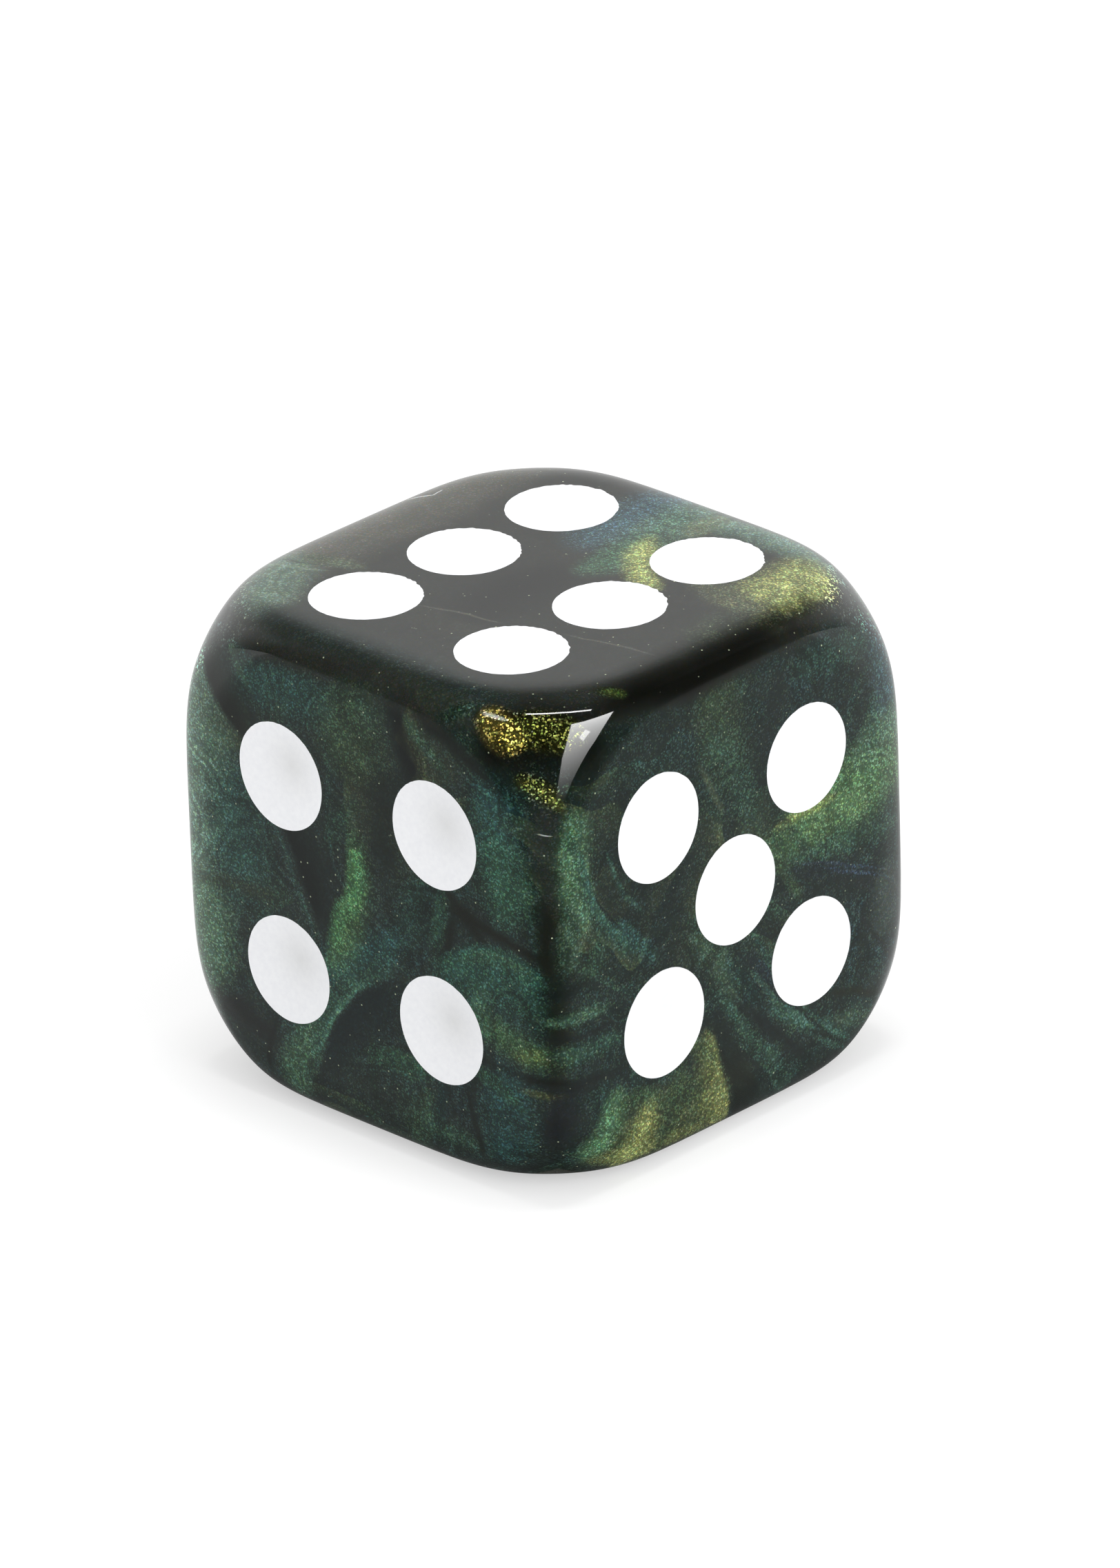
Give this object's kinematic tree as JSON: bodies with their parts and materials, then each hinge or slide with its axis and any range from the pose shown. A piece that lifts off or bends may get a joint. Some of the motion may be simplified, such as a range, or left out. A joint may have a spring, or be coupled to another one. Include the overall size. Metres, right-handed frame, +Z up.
{
  "type": "gaming die",
  "caption": "Six-sided pipped gaming die: a solid cast resin cube with rolled edges and ball-rounded corners, drilled dimples and a pool of white paint in each.",
  "frame": {"origin": "centre of the one-pip face, on the surface the die stands on", "axes": "+Z up through the six-pip face; four-pip face looks along -Y, five-pip face along +X"},
  "size_m": [0.016, 0.016, 0.016],
  "materials": {
    "swirled_resin": "polished cast resin, dark with green, teal and gold pearl swirls",
    "pip_paint": "white enamel paint, satin"
  },
  "bodies": {
    "root": {"die_body": "swirled_resin", "pip_1_centre": "pip_paint", "pip_2_lower_left": "pip_paint", "pip_2_upper_right": "pip_paint", "pip_3_centre": "pip_paint", "pip_3_lower_left": "pip_paint", "pip_3_upper_right": "pip_paint", "pip_4_lower_left": "pip_paint", "pip_4_lower_right": "pip_paint", "pip_4_upper_left": "pip_paint", "pip_4_upper_right": "pip_paint", "pip_5_centre": "pip_paint", "pip_5_lower_left": "pip_paint", "pip_5_lower_right": "pip_paint", "pip_5_upper_left": "pip_paint", "pip_5_upper_right": "pip_paint", "pip_6_lower_left": "pip_paint", "pip_6_lower_right": "pip_paint", "pip_6_middle_left": "pip_paint", "pip_6_middle_right": "pip_paint", "pip_6_upper_left": "pip_paint", "pip_6_upper_right": "pip_paint"}
  },
  "joints": []
}
